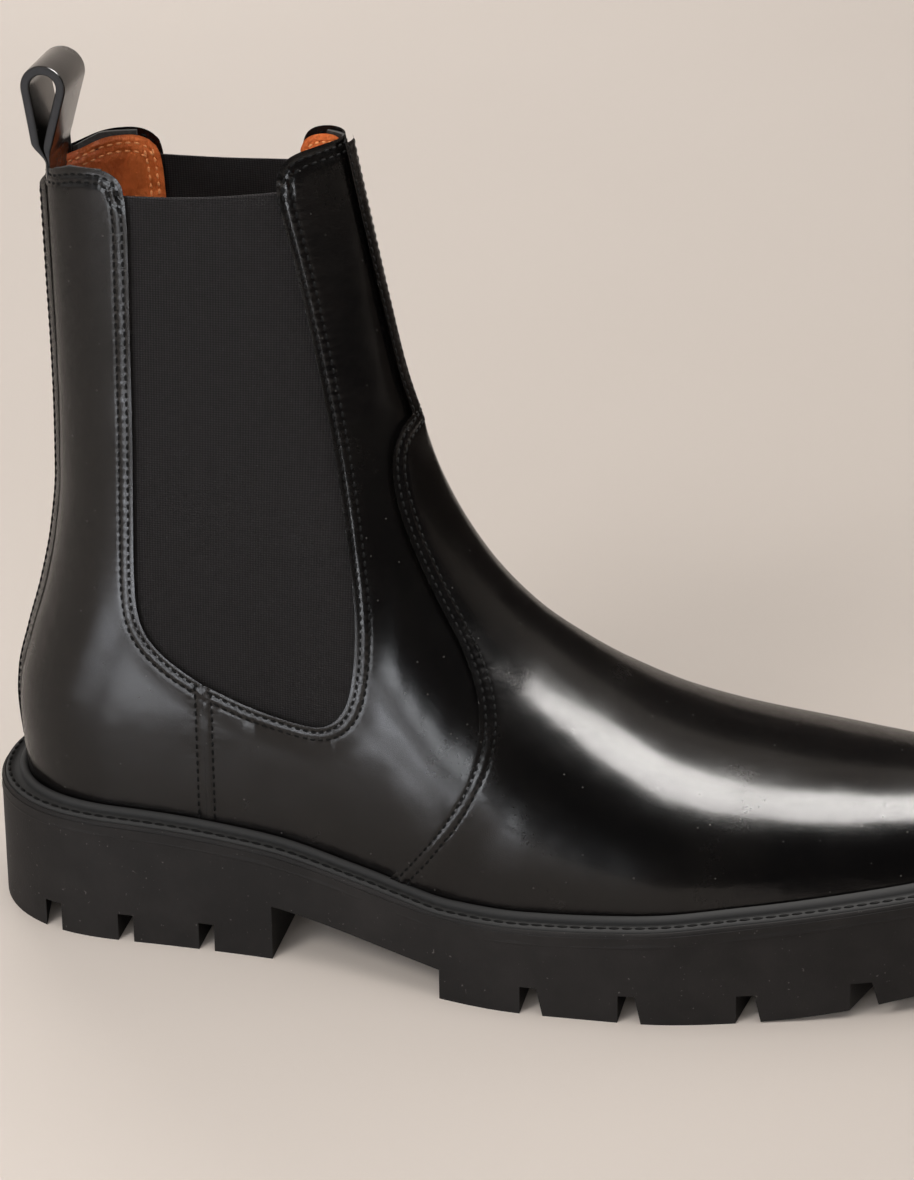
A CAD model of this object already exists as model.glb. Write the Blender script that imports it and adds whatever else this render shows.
"""A right-foot chelsea boot: its leather panels, elastic, lining, stitching, welt, pull loop and finishes.

Every piece is built on one last shape, drawn in millimetres with the heel's back at x = 0, and then moved
into the frame's metres. A place on the last is a pair (s, t). s goes round a section: 0 at the heel, pi at
the front, the outer side between them and the inner side from pi to 2 pi. t goes up the boot, from 0 at the
sole to 1 above the topline.
"""

import logging
import math
from dataclasses import dataclass, field
from enum import Enum
from typing import Callable, Iterable, Sequence

import bmesh
import bpy
import numpy as np
from mathutils import Matrix, Vector
from mathutils.geometry import delaunay_2d_cdt
from mathutils.kdtree import KDTree


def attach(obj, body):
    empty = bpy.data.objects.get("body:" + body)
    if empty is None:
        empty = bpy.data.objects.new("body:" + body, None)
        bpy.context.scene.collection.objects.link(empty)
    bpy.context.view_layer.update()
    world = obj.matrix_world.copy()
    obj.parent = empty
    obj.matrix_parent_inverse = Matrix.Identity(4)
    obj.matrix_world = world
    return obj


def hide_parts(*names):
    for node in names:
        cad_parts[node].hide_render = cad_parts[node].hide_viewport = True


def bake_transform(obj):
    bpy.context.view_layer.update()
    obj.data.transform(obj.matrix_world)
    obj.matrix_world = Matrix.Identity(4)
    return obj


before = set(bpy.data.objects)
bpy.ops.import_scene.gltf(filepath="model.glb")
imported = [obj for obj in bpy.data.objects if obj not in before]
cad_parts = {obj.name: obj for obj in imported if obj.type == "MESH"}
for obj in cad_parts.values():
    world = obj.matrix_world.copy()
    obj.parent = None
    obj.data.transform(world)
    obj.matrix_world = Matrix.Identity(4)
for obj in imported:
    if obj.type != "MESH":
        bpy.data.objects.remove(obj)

log = logging.getLogger("chelsea_boot")

MM = 0.001
BOOT = "boot"
FRONT = math.pi
Array = np.ndarray


# ------------------------------------------------------------ the last shape


class Line:
    """A smooth line through (place, value) pairs, with no overshoot, straight past both ends."""

    def __init__(self, pairs: Sequence[tuple[float, float]]) -> None:
        """Keeps the pairs and works out a slope at each.

        Args:
            pairs: (place, value) pairs in rising order of place.
        """
        self.xs = np.array([p[0] for p in pairs], float)
        self.ys = np.array([p[1] for p in pairs], float)
        slopes = np.diff(self.ys) / np.diff(self.xs)
        before, after = slopes[:-1], slopes[1:]
        same = before * after > 0
        total = np.where(same, before + after, 1.0)
        inner = np.where(same, 2 * before * after / total, 0.0)
        self.grades = np.concatenate([slopes[:1], inner, slopes[-1:]])

    def __call__(self, x: Array | float) -> Array:
        """The value at each place x."""
        x = np.asarray(x, float)
        i = np.clip(np.searchsorted(self.xs, x, side="right") - 1, 0, len(self.xs) - 2)
        h = self.xs[i + 1] - self.xs[i]
        t = np.clip((x - self.xs[i]) / h, 0.0, 1.0)
        start = (1 + 2 * t) * (1 - t) ** 2 * self.ys[i] + t * (1 - t) ** 2 * h * self.grades[i]
        end = t * t * (3 - 2 * t) * self.ys[i + 1] + t * t * (t - 1) * h * self.grades[i + 1]
        below = np.minimum(x - self.xs[0], 0.0) * self.grades[0]
        above = np.maximum(x - self.xs[-1], 0.0) * self.grades[-1]
        return start + end + below + above


def closing(share: Array, power: float | Array) -> Array:
    """1 in the body of a section, falling to 0 as share goes from 1 to 0."""
    return (1 - (1 - np.clip(share, 0.0, 1.0)) ** power) ** (1 / power)


def ramp(value: Array, start: float, end: float) -> Array:
    """0 before start, 1 after end and a smooth step between them."""
    t = np.clip((value - start) / (end - start), 0.0, 1.0)
    return t * t * (3 - 2 * t)


@dataclass
class Last:
    """The shape that the upper is stretched over, in millimetres from the heel's back.

    The lines are the side view and the plan of a right foot's last, on a raised heel.
    """

    sole_length: float = 300.0
    ledge: float = 6.0
    heel_rounding: float = 40.0
    toe_rounding: float = 110.0
    toe_swing: float = 9.0
    swing_start: float = 190.0
    dome_base: float = 26.0
    end_power: float = 2.2
    lateral_width: Line = field(
        default_factory=lambda: Line(
            [(0, 37), (45, 37.5), (84, 39.5), (110, 45), (133, 51.5), (156, 55.3), (183, 55), (213, 50.8)]
            + [(244, 48), (270, 46), (300, 42)]
        )
    )
    medial_width: Line = field(
        default_factory=lambda: Line(
            [(0, 37), (45, 37), (84, 35.5), (110, 34.5), (133, 37.5), (160, 46), (190, 53.5), (215, 55.4)]
            + [(244, 54.4), (270, 50.4), (300, 44)]
        )
    )
    back_line: Line = field(
        default_factory=lambda: Line(
            [(30, 7), (39, 6.3), (55, 5.5), (64, 6.2), (78, 9.8), (92, 14), (108, 17.6), (125, 19.6)]
            + [(149, 20), (183, 19.4), (210, 18.8)]
        )
    )
    front_line: Line = field(
        default_factory=lambda: Line(
            [(85, 310), (101, 219), (105, 199), (109.5, 177), (114, 157), (118.5, 143), (123, 130)]
            + [(129, 117), (139, 102), (150, 90.5), (161, 82), (172, 75), (188, 67), (208, 61.5)]
            + [(235, 57.5), (255, 55.5), (270, 52.5), (281, 48), (288, 42), (293, 32), (294, 20)]
        )
    )
    narrowing: Line = field(
        default_factory=lambda: Line(
            [(20, 1), (60, 1), (80, 0.985), (110, 0.93), (150, 0.82), (185, 0.73), (210, 0.68), (230, 0.66)]
        )
    )
    doming: Line = field(
        default_factory=lambda: Line([(20, 2.3), (70, 2.2), (110, 2.0), (150, 1.8), (230, 1.8)])
    )
    heel_closing: Line = field(
        default_factory=lambda: Line([(20, 34), (60, 34), (110, 32), (150, 30), (210, 26)])
    )
    sole_top: Line = field(
        default_factory=lambda: Line(
            [(0, 34.6), (24, 34.5), (51, 33.7), (79, 31.5), (107, 27.3), (122, 25), (136, 23.3), (164, 23.9)]
            + [(190, 25.6), (215, 27.9), (240, 30.4), (270, 33), (300, 36)]
        )
    )
    fan: tuple[tuple[float, float], ...] = (
        (22, 294),
        (32, 292.8),
        (38, 290),
        (44, 286),
        (50, 277),
        (55, 262),
        (60, 243),
        (65, 222),
        (71, 202),
        (78, 184),
        (87, 167),
        (97, 150),
        (110, 137),
        (124, 127),
        (140, 119),
        (158, 113.8),
        (176, 109.7),
        (194, 106),
        (212, 102.4),
        (232, 98.7),
    )

    def __post_init__(self) -> None:
        """Works out the chords that sections lie on, as tables over t."""
        shares = np.linspace(0, 1, len(self.fan))
        back = Line([(t, p[0]) for t, p in zip(shares, self.fan)])
        front = Line([(t, p[1]) for t, p in zip(shares, self.fan)])
        self.levels = np.linspace(-0.05, 1.1, 4000)
        self.back_z = back(self.levels)
        self.first_x = self.back_line(self.back_z)
        self.last_x = front(self.levels)
        self.last_z = self.front_line(self.last_x)

    def chord(self, t: Array) -> tuple[Array, Array, Array, Array]:
        """The back and front ends of the sections at t, as x, z, x, z."""
        values = (self.first_x, self.back_z, self.last_x, self.last_z)
        x0, z0, x1, z1 = (np.interp(t, self.levels, v) for v in values)
        return x0, z0, x1, z1

    def centre_line(self, x: Array) -> Array:
        """The plan's centre line, which swings to the inner side at the toe."""
        share = np.clip((x - self.swing_start) / (self.sole_length - self.swing_start), 0, None)
        return self.toe_swing * share**1.5

    def side_width(self, x: Array, medial: Array) -> Array:
        """Half width of the sole on the inner side where medial is true, and on the outer side elsewhere."""
        return np.where(medial, self.medial_width(x), self.lateral_width(x))

    def outline(self, s: Array, inset: Array | float) -> tuple[Array, Array]:
        """The sole's outline moved inwards by inset, as x and y for each s."""
        medial = np.sin(s) < 0
        x = inset + (self.sole_length - 2 * inset) * (1 - np.cos(s)) / 2
        heel = closing((x - inset) / (self.heel_rounding - inset), self.end_power)
        toe = closing((self.sole_length - inset - x) / (self.toe_rounding - inset), self.end_power)
        side = np.where(medial, 1.0, -1.0)
        return x, self.centre_line(x) + side * (self.side_width(x, medial) - inset) * heel * toe

    def surface(self, s: Array, t: Array) -> Array:
        """Points of the leather's outer face at (s, t), in millimetres, one row each."""
        s, t = np.broadcast_arrays(np.asarray(s, float), np.asarray(t, float))
        x0, z0, x1, z1 = self.chord(t)
        share = (1 - np.cos(s)) / 2
        x = x0 + (x1 - x0) * share
        z = z0 + (z1 - z0) * share
        medial = np.sin(s) < 0
        inset = self.ledge - 0.5
        toe = closing((self.sole_length - inset - x) / (self.toe_rounding - inset), self.end_power)
        heel = closing((x - self.back_line(z)) / self.heel_closing(z), self.end_power)
        room = np.maximum(self.front_line(x) - self.dome_base, 1e-6)
        rise = np.clip((z - self.dome_base) / room, 0, 1)
        power = self.doming(z)
        dome = (1 - rise**power) ** (1 / power)
        width = (self.side_width(x, medial) - self.ledge) * self.narrowing(z) * toe * heel * dome
        y = self.centre_line(x) + np.where(medial, 1.0, -1.0) * width
        return np.stack([x, y, z], axis=-1)

    def slopes(self, s: Array, t: Array) -> tuple[Array, Array]:
        """How the surface moves along s and along t."""
        es, et = 0.004, 0.002
        along_s = (self.surface(s + es, t) - self.surface(s - es, t)) / (2 * es)
        along_t = (self.surface(s, t + et) - self.surface(s, t - et)) / (2 * et)
        return along_s, along_t

    def normal(self, s: Array, t: Array) -> Array:
        """Outward unit normals at (s, t)."""
        along_s, along_t = self.slopes(s, t)
        n = np.cross(along_s, along_t)
        return n / np.maximum(np.linalg.norm(n, axis=-1, keepdims=True), 1e-9)

    def locate(self, x: Array, z: Array) -> Array:
        """The (s, t) of side-view places on the outer side."""
        low = np.full(len(x), self.levels[0])
        high = np.full(len(x), self.levels[-1])
        for _ in range(50):
            t = (low + high) / 2
            x0, z0, x1, z1 = self.chord(t)
            under = z0 + (z1 - z0) * (x - x0) / (x1 - x0) < z
            low, high = np.where(under, t, low), np.where(under, high, t)
        x0, _, x1, _ = self.chord(low)
        s = np.arccos(np.clip(1 - 2 * (x - x0) / (x1 - x0), -1, 1))
        return np.stack([s, low], axis=-1)

    def level(self, s: Array, height: Callable[[Array], Array]) -> Array:
        """The (s, t) at which the surface has the height that height(x) gives, for each s."""
        low = np.full(len(s), self.levels[0])
        high = np.full(len(s), self.levels[-1])
        for _ in range(50):
            t = (low + high) / 2
            p = self.surface(s, t)
            under = p[:, 2] < height(p[:, 0])
            low, high = np.where(under, t, low), np.where(under, high, t)
        return np.stack([s, low], axis=-1)

    def across(self, t: Array, half: Array, front: bool) -> Array:
        """The (s, t) on the outer side that lie half a strip's width from the heel's or front's middle."""
        start = FRONT if front else 0.0
        low = np.zeros(len(t))
        high = np.full(len(t), 1.2)
        for _ in range(40):
            step = (low + high) / 2
            s = start - step if front else start + step
            p = self.surface(s, t)
            under = np.abs(p[:, 1] - self.centre_line(p[:, 0])) < half
            low, high = np.where(under, step, low), np.where(under, high, step)
        return np.stack([start - low if front else start + low, t], axis=-1)


def to_frame(points: Array) -> Array:
    """Millimetres from the heel's back to the frame's metres."""
    half_length = LAST.sole_length / 2
    return (np.asarray(points, float) - np.array([half_length, 0.0, 0.0])) * MM


LAST = Last()


class Pebble:
    """Smooth seeded noise between -1 and 1, for small unevenness."""

    def __init__(self, seed: int, cells: int = 32) -> None:
        """Fills the lattice.

        Args:
            seed: Start of the random draws.
            cells: Cells along each side before the noise repeats.
        """
        self.cells = cells
        self.lattice = np.random.default_rng(seed).random((cells, cells, cells)) * 2 - 1

    def __call__(self, points: Array, size: float) -> Array:
        """The noise at each point, with features of about size."""
        p = np.asarray(points, float) / size
        base = np.floor(p).astype(int)
        f = p - base
        f = f * f * (3 - 2 * f)
        total = np.zeros(len(p))
        for corner in np.ndindex(2, 2, 2):
            c = np.array(corner)
            weight = np.prod(np.where(c == 1, f, 1 - f), axis=1)
            i = (base + c) % self.cells
            total += weight * self.lattice[i[:, 0], i[:, 1], i[:, 2]]
        return total


PEBBLE = Pebble(seed=11)


# ------------------------------------------------------------ seam lines


def spline(points: Sequence[tuple[float, float]], step: float) -> Array:
    """A smooth open curve through side-view points, sampled about every step millimetres."""
    p = np.array(points, float)
    knots = np.concatenate([[0.0], np.cumsum(np.linalg.norm(np.diff(p, axis=0), axis=1) ** 0.5)])
    count = len(p)
    matrix = np.eye(count)
    rhs = np.zeros((count, 2))
    gaps = np.diff(knots)
    for i in range(1, count - 1):
        matrix[i, i - 1 : i + 2] = gaps[i - 1], 2 * (gaps[i - 1] + gaps[i]), gaps[i]
        rhs[i] = 6 * ((p[i + 1] - p[i]) / gaps[i] - (p[i] - p[i - 1]) / gaps[i - 1])
    bend = np.linalg.solve(matrix, rhs)
    dense = []
    for i, gap in enumerate(gaps):
        u = np.linspace(0, gap, 24, endpoint=False)[:, None]
        a, b = bend[i], bend[i + 1]
        linear = p[i] * (1 - u / gap) + p[i + 1] * (u / gap)
        cubic = ((gap - u) ** 3 / gap - (gap - u) * gap) * a / 6 + (u**3 / gap - u * gap) * b / 6
        dense.append(linear + cubic)
    return resample(np.concatenate([*dense, p[-1:]]), step)


def resample(path: Array, step: float) -> Array:
    """The path with points about every step along it, keeping both ends."""
    lengths = np.concatenate([[0.0], np.cumsum(np.linalg.norm(np.diff(path, axis=0), axis=1))])
    count = max(2, int(round(lengths[-1] / step)) + 1)
    places = np.linspace(0, lengths[-1], count)
    return np.stack([np.interp(places, lengths, path[:, i]) for i in range(path.shape[1])], axis=-1)


def even(path: Array, step: float) -> Array:
    """A path of (s, t) with points about every step millimetres along the surface."""
    points = LAST.surface(path[:, 0], path[:, 1])
    lengths = np.concatenate([[0.0], np.cumsum(np.linalg.norm(np.diff(points, axis=0), axis=1))])
    count = max(2, int(round(lengths[-1] / step)) + 1)
    places = np.linspace(0, lengths[-1], count)
    return np.stack([np.interp(places, lengths, path[:, i]) for i in range(2)], axis=-1)


def mirrored(path: Array) -> Array:
    """The same path on the inner side, run the other way."""
    return np.stack([2 * FRONT - path[::-1, 0], path[::-1, 1]], axis=-1)


@dataclass
class Seams:
    """The seam lines of the upper in the side view, and their places on the last."""

    side_seam_x: float = 65.3
    base_rise: float = 0.6
    step: float = 0.8
    elastic_margin: float = 6.0
    elastic_top: float = 206.3
    window: tuple[tuple[float, float], ...] = (
        (45.4, 207.5),
        (46.2, 202),
        (46.6, 180),
        (47, 140),
        (47, 108),
        (48, 94),
        (51.5, 86.5),
        (60, 79.3),
        (69, 74.7),
        (80, 70.7),
        (91, 68.4),
        (98.5, 68.7),
        (103.8, 73),
        (106.6, 81),
        (107.5, 95),
        (106.2, 110),
        (101.5, 137.6),
        (95.8, 164.7),
        (89.4, 191.8),
        (86, 205),
        (85.2, 209.5),
    )
    back_top: tuple[tuple[float, float], ...] = (
        (19, 209.9),
        (22, 210),
        (26, 211.2),
        (30, 212.4),
        (34.5, 213),
        (39, 213),
        (42.6, 211.8),
        (44.8, 209.6),
        (45.4, 207.5),
    )
    front_top: tuple[tuple[float, float], ...] = (
        (85.2, 209.5),
        (85.3, 213),
        (86.8, 216.3),
        (89.6, 218.4),
        (93.5, 219.7),
        (97.5, 220.4),
        (103, 220.7),
    )
    vamp: tuple[tuple[float, float], ...] = (
        (119.3, 147.3),
        (117, 146.6),
        (115.3, 144.4),
        (114.2, 140),
        (114.7, 133),
        (117.6, 123.3),
        (126, 105.5),
        (134.9, 91),
        (140.2, 79.8),
        (141.3, 71),
        (139, 62),
        (131.5, 47.7),
        (120, 32),
        (113, 22),
    )

    def located(self, points: Sequence[tuple[float, float]]) -> Array:
        """A smooth curve through side-view points as (s, t) on the outer side."""
        curve = spline(points, self.step / 2)
        return even(LAST.locate(curve[:, 0], curve[:, 1]), self.step)

    def base(self, start: float, end: float) -> Array:
        """The line along the sole from s = start to s = end."""
        s = np.linspace(start, end, 600)
        return even(LAST.level(s, lambda x: LAST.sole_top(x) + self.base_rise), self.step)

    def side_seam(self) -> Array:
        """The side seam from the sole line up to the elastic's window."""
        bottom = LAST.sole_top(self.side_seam_x) + self.base_rise
        z = np.linspace(float(bottom), self.window_height(self.side_seam_x), 200)
        return even(LAST.locate(np.full(200, self.side_seam_x), z), self.step)

    def window_height(self, x: float) -> float:
        """Height of the window's lower edge at a side-view x."""
        curve = spline(self.window, 0.2)
        lower = curve[curve[:, 1] < 100]
        lower = lower[: int(np.argmax(lower[:, 0]))]
        return float(np.interp(x, lower[:, 0], lower[:, 1]))

    def window_parts(self) -> tuple[Array, Array]:
        """The window's edge behind and before the side seam, both running from the top round to the front."""
        path = self.located(self.window)
        points = LAST.surface(path[:, 0], path[:, 1])
        split = int(np.argmax(points[:, 0] > self.side_seam_x))
        join = LAST.locate(np.array([self.side_seam_x]), np.array([self.window_height(self.side_seam_x)]))
        return np.concatenate([path[: split - 1], join]), np.concatenate([join, path[split + 1 :]])


SEAMS = Seams()


# ------------------------------------------------------------ leather panels


@dataclass(frozen=True)
class Hem:
    """How a panel ends along one of its edges, in millimetres."""

    rows: tuple[float, ...] = ()
    lift: float = 0.0
    fade: float = 14.0
    sink: float = 0.0
    roll: float = 0.7
    puff: float = 0.0
    groove: float = 0.16
    thick: float = 0.0


class Edge(Enum):
    """The ways in which the upper's panels end."""

    WINDOW = Hem(rows=(1.5, 4.0), lift=0.45, fade=10.0, roll=0.75, puff=0.11, groove=0.16)
    TOPLINE = Hem(rows=(1.9, 4.0), roll=0.9, puff=0.10, thick=1.0, groove=0.16)
    LAPPED = Hem(rows=(1.6, 4.2), lift=1.15, fade=16.0, roll=0.6, puff=0.12, groove=0.16)
    BUTTED = Hem(rows=(2.2,), lift=0.25, fade=4.5, roll=0.55, groove=0.18)
    CLOSED = Hem(roll=0.3)
    UNDER = Hem(sink=0.7, fade=6.0, roll=0.5)
    BASE = Hem(roll=0.5)
    STRIP = Hem(rows=(1.2,), roll=0.5, groove=0.16)
    PLAIN = Hem(roll=0.45)
    LINING_TOP = Hem(rows=(2.2, 4.6), roll=0.45, groove=0.32, thick=0.0)
    LINING_SIDE = Hem(rows=(1.8, 4.2), roll=0.45, groove=0.32)


RING_STEPS = (0.07, 0.25, 0.5, 0.8, 1.15, 1.55, 1.95, 2.4, 2.85, 3.3, 3.8, 4.3, 4.75, 5.2, 5.7, 6.4, 7.3)
SHORT_RINGS = (0.07, 0.25, 0.5, 0.9, 1.3, 1.8, 2.3, 2.9, 3.6)
STITCH_PITCH = 2.3


@dataclass
class Panel:
    """A closed thin piece of leather, cloth or lining, cut from the last's surface.

    Its outer and inner faces share their edge, which is rolled over. Depths are inwards from the leather's
    outer face.
    """

    name: str
    edges: list[tuple[Edge, Array]]
    thickness: float = 1.6
    depth: float = 0.0
    spacing: float = 1.5
    facing: float = 1.0
    rings: tuple[float, ...] = RING_STEPS
    relief: Callable[[Array, Array], Array] | None = None
    trees: dict[Edge, tuple[KDTree, Array]] = field(default_factory=dict)

    def outline(self) -> Array:
        """The closed outline as (s, t), with no doubled corner."""
        path = np.concatenate([p[:-1] for _, p in self.edges])
        return path

    def plant(self) -> None:
        """Makes a search tree of dense points for each kind of edge, with the length along it."""
        by_edge: dict[Edge, list[Array]] = {}
        for edge, path in self.edges:
            by_edge.setdefault(edge, []).append(even(path, 0.25))
        for edge, paths in by_edge.items():
            points = [LAST.surface(p[:, 0], p[:, 1]) for p in paths]
            steps = [np.linalg.norm(np.diff(p, axis=0), axis=1) for p in points]
            lengths = [np.concatenate([[0.0], np.cumsum(step)]) for step in steps]
            rows = np.concatenate(points)
            tree = KDTree(len(rows))
            for i, p in enumerate(rows):
                tree.insert(p, i)
            tree.balance()
            self.trees[edge] = (tree, np.concatenate(lengths))

    def distances(self, edge: Edge, points: Array) -> tuple[Array, Array]:
        """Distance from each point to an edge, and the length along the edge there."""
        tree, lengths = self.trees[edge]
        found = [tree.find(p) for p in points]
        away = np.array([f[2] for f in found])
        return away, lengths[np.array([f[1] for f in found], int)]

    def depths(self, places: Array, points: Array) -> tuple[Array, Array]:
        """Depths of the outer and inner faces at the given places.

        Args:
            places: (s, t) of each vertex.
            points: The same places on the last's surface.

        Returns:
            The outer face's depth and the inner face's depth.
        """
        outer = np.full(len(places), self.depth)
        inner = np.full(len(places), self.depth + self.thickness)
        shape = np.zeros(len(places))
        for edge in self.trees:
            hem = edge.value
            away, along = self.distances(edge, points)
            raised = (1 - ramp(away, 0.0, hem.fade)) * (hem.lift - hem.sink)
            shape -= raised
            inner += hem.thick * (1 - ramp(away, 2.0, 6.0))
            for row in hem.rows:
                shape += self.facing * hem.groove * np.exp(-(((away - row) / 0.42) ** 2))
            if hem.rows:
                last = hem.rows[-1]
                ripple = np.cos(2 * math.pi * along / STITCH_PITCH)
                shape -= self.facing * 0.035 * ripple * np.exp(-np.abs(away - last) / 1.6)
            if hem.puff:
                middle = sum(hem.rows) / len(hem.rows)
                bumps = 0.8 + 0.35 * np.cos(2 * math.pi * along / STITCH_PITCH) + 0.35 * PEBBLE(points, 2.2)
                shape -= self.facing * hem.puff * bumps * np.exp(-(((away - middle) / 1.15) ** 2))
            round_off = np.clip(away / hem.roll, 0, 1)
            corner = 1 - np.sqrt(1 - (1 - round_off) ** 2)
            bend = 1 - corner
            middle_depth = (outer + inner) / 2
            outer = outer + (middle_depth - outer) * bend
            inner = inner + (middle_depth - inner) * bend
        if self.relief is not None:
            relief = self.relief(places, points)
            inside = ramp(np.min([self.distances(e, points)[0] for e in self.trees], axis=0), 0.0, 1.5)
            shape = shape + relief * inside
        return outer + shape, inner + shape

    def inset(self, path: Array, distance: float, inwards: float) -> Array:
        """The path moved by distance over the surface, to its left if inwards is 1 and to its right if -1."""
        along_s, along_t = LAST.slopes(path[:, 0], path[:, 1])
        points = LAST.surface(path[:, 0], path[:, 1])
        run = np.gradient(points, axis=0)
        normal = np.cross(along_s, along_t)
        side = np.cross(normal, run) * inwards
        side /= np.maximum(np.linalg.norm(side, axis=1, keepdims=True), 1e-9)
        a = np.einsum("ij,ij->i", along_s, along_s)
        b = np.einsum("ij,ij->i", along_s, along_t)
        c = np.einsum("ij,ij->i", along_t, along_t)
        p = np.einsum("ij,ij->i", along_s, side) * distance
        q = np.einsum("ij,ij->i", along_t, side) * distance
        det = np.maximum(a * c - b * b, 1e-9)
        return path + np.stack([(c * p - b * q) / det, (a * q - b * p) / det], axis=-1)

    def filling(self, outline: Array) -> Array:
        """Places spread evenly over the panel's middle."""
        low, high = outline.min(axis=0), outline.max(axis=0)
        levels = np.linspace(low[1], high[1], 400)
        columns = np.linspace(low[0], high[0], 9)
        climbs = [np.diff(LAST.surface(np.full(400, s), levels), axis=0) for s in columns]
        gaps = np.max([np.linalg.norm(climb, axis=1) for climb in climbs], axis=0)
        climbed = np.concatenate([[0.0], np.cumsum(gaps)])
        places = []
        for row, height in enumerate(np.arange(self.spacing / 2, climbed[-1], self.spacing * 0.87)):
            t = float(np.interp(height, climbed, levels))
            s = np.linspace(low[0], high[0], 600)
            p = LAST.surface(s, np.full(600, t))
            run = np.concatenate([[0.0], np.cumsum(np.linalg.norm(np.diff(p, axis=0), axis=1))])
            offset = self.spacing / 2 if row % 2 else 0.0
            at = np.interp(np.arange(offset, run[-1], self.spacing), run, s)
            places.append(np.stack([at, np.full(len(at), t)], axis=-1))
        return np.concatenate(places)

    def cut(self) -> tuple[Array, Array, Array]:
        """Cuts the panel's pattern into triangles.

        Returns:
            Places of the vertices, a mask of those on the edge, and the triangles.
        """
        outline = self.outline()
        following = np.roll(outline, -1, axis=0)
        area = np.sum(outline[:, 0] * following[:, 1] - outline[:, 1] * following[:, 0])
        turn = 1.0 if area > 0 else -1.0
        edge_points = LAST.surface(outline[:, 0], outline[:, 1])
        tree = KDTree(len(edge_points) * 4)
        ahead = np.roll(edge_points, -1, axis=0) - edge_points
        dense = np.concatenate([edge_points + ahead * k / 4 for k in range(4)])
        for i, p in enumerate(dense):
            tree.insert(p, i)
        tree.balance()

        def clear_of_edge(places: Array, distance: float) -> Array:
            """Those places inside the panel that are further than distance from its edge."""
            places = places[inside(places, outline)]
            p = LAST.surface(places[:, 0], places[:, 1])
            away = np.array([tree.find(q)[2] for q in p])
            return places[away > distance]

        chosen = [outline]
        for distance in self.rings:
            ring = np.concatenate([self.inset(p, distance, turn)[:-1] for _, p in self.edges])
            chosen.append(clear_of_edge(ring, distance * 0.93))
        chosen.append(clear_of_edge(self.filling(outline), self.rings[-1] + self.spacing * 0.45))
        places = np.concatenate(chosen)
        scale = np.array([40.0, 260.0])
        flat = [Vector(p) for p in places * scale]
        loop = list(range(len(outline)))
        verts, _, faces, origin, _, _ = delaunay_2d_cdt(flat, [], [loop], 1, 1e-5)
        used = sorted({i for f in faces for i in f})
        number = {old: new for new, old in enumerate(used)}
        places = np.array([verts[i] for i in used]) / scale
        on_edge = np.array([any(k < len(outline) for k in origin[i]) for i in used])
        triangles = [[number[i] for i in f] for f in faces if len(f) == 3]
        return places, on_edge, self.evened(places, triangles)

    @staticmethod
    def evened(places: Array, triangles: list[list[int]]) -> Array:
        """Turns the triangles' shared sides so that none is a sliver on the curved surface."""
        work = bmesh.new()
        corners = [work.verts.new(p) for p in LAST.surface(places[:, 0], places[:, 1])]
        work.verts.index_update()
        for triangle in triangles:
            work.faces.new([corners[i] for i in triangle])
        shared = [edge for edge in work.edges if len(edge.link_faces) == 2]
        bmesh.ops.beautify_fill(work, faces=work.faces[:], edges=shared, method="ANGLE")
        found = np.array([[corner.index for corner in face.verts] for face in work.faces], int)
        work.free()
        return found

    def build(self) -> bpy.types.Object:
        """Makes the panel's mesh as an object in the frame."""
        self.plant()
        places, on_edge, triangles = self.cut()
        points = LAST.surface(places[:, 0], places[:, 1])
        normals = LAST.normal(places[:, 0], places[:, 1])
        outer, inner = self.depths(places, points)
        middle = (outer + inner) / 2
        outer = np.where(on_edge, middle, outer)
        face_out = points - normals * outer[:, None]
        face_in = points - normals * inner[:, None]
        inner_number = np.where(on_edge, np.arange(len(places)), 0)
        free = np.flatnonzero(~on_edge)
        inner_number[free] = len(places) + np.arange(len(free))
        vertices = np.concatenate([face_out, face_in[free]])
        corners = points[triangles]
        facing = np.cross(corners[:, 1] - corners[:, 0], corners[:, 2] - corners[:, 0])
        outward = np.einsum("ij,ij->i", facing, normals[triangles[:, 0]]) > 0
        triangles = np.where(outward[:, None], triangles, triangles[:, ::-1])
        inner_triangles = inner_number[triangles[:, ::-1]]
        faces = np.concatenate([triangles, inner_triangles]).tolist()
        return make_object(self.name, to_frame(vertices), faces)

    def stitch_rows(self, edge: Edge, rise: float = 0.0, trim: float = 1.5) -> list[tuple[Array, Array]]:
        """The stitch rows along the panel's edges of one kind, as points and normals in the frame."""
        outline = self.outline()
        following = np.roll(outline, -1, axis=0)
        area = np.sum(outline[:, 0] * following[:, 1] - outline[:, 1] * following[:, 0])
        turn = 1.0 if area > 0 else -1.0
        rows = []
        for kind, path in self.edges:
            if kind is not edge:
                continue
            for distance in edge.value.rows:
                row = self.inset(path, distance, turn)
                points = LAST.surface(row[:, 0], row[:, 1])
                keep = inside(row, outline)
                away = np.min([self.distances(e, points)[0] for e in self.trees], axis=0)
                keep &= away > distance * 0.8
                if keep.sum() < 4:
                    continue
                row, points = row[keep], points[keep]
                outer, inner = self.depths(row, points)
                normals = LAST.normal(row[:, 0], row[:, 1])
                shown = outer - rise if self.facing > 0 else inner + rise
                rows.append((to_frame(points - normals * shown[:, None]), normals * self.facing))
        return rows


def inside(places: Array, outline: Array) -> Array:
    """Which places lie inside a closed outline."""
    result = np.zeros(len(places), bool)
    x, y = places[:, 0], places[:, 1]
    for (x0, y0), (x1, y1) in zip(outline, np.roll(outline, -1, axis=0)):
        if y0 == y1:
            continue
        crosses = (y0 > y) != (y1 > y)
        result ^= crosses & (x < (x1 - x0) * (y - y0) / (y1 - y0) + x0)
    return result


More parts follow.
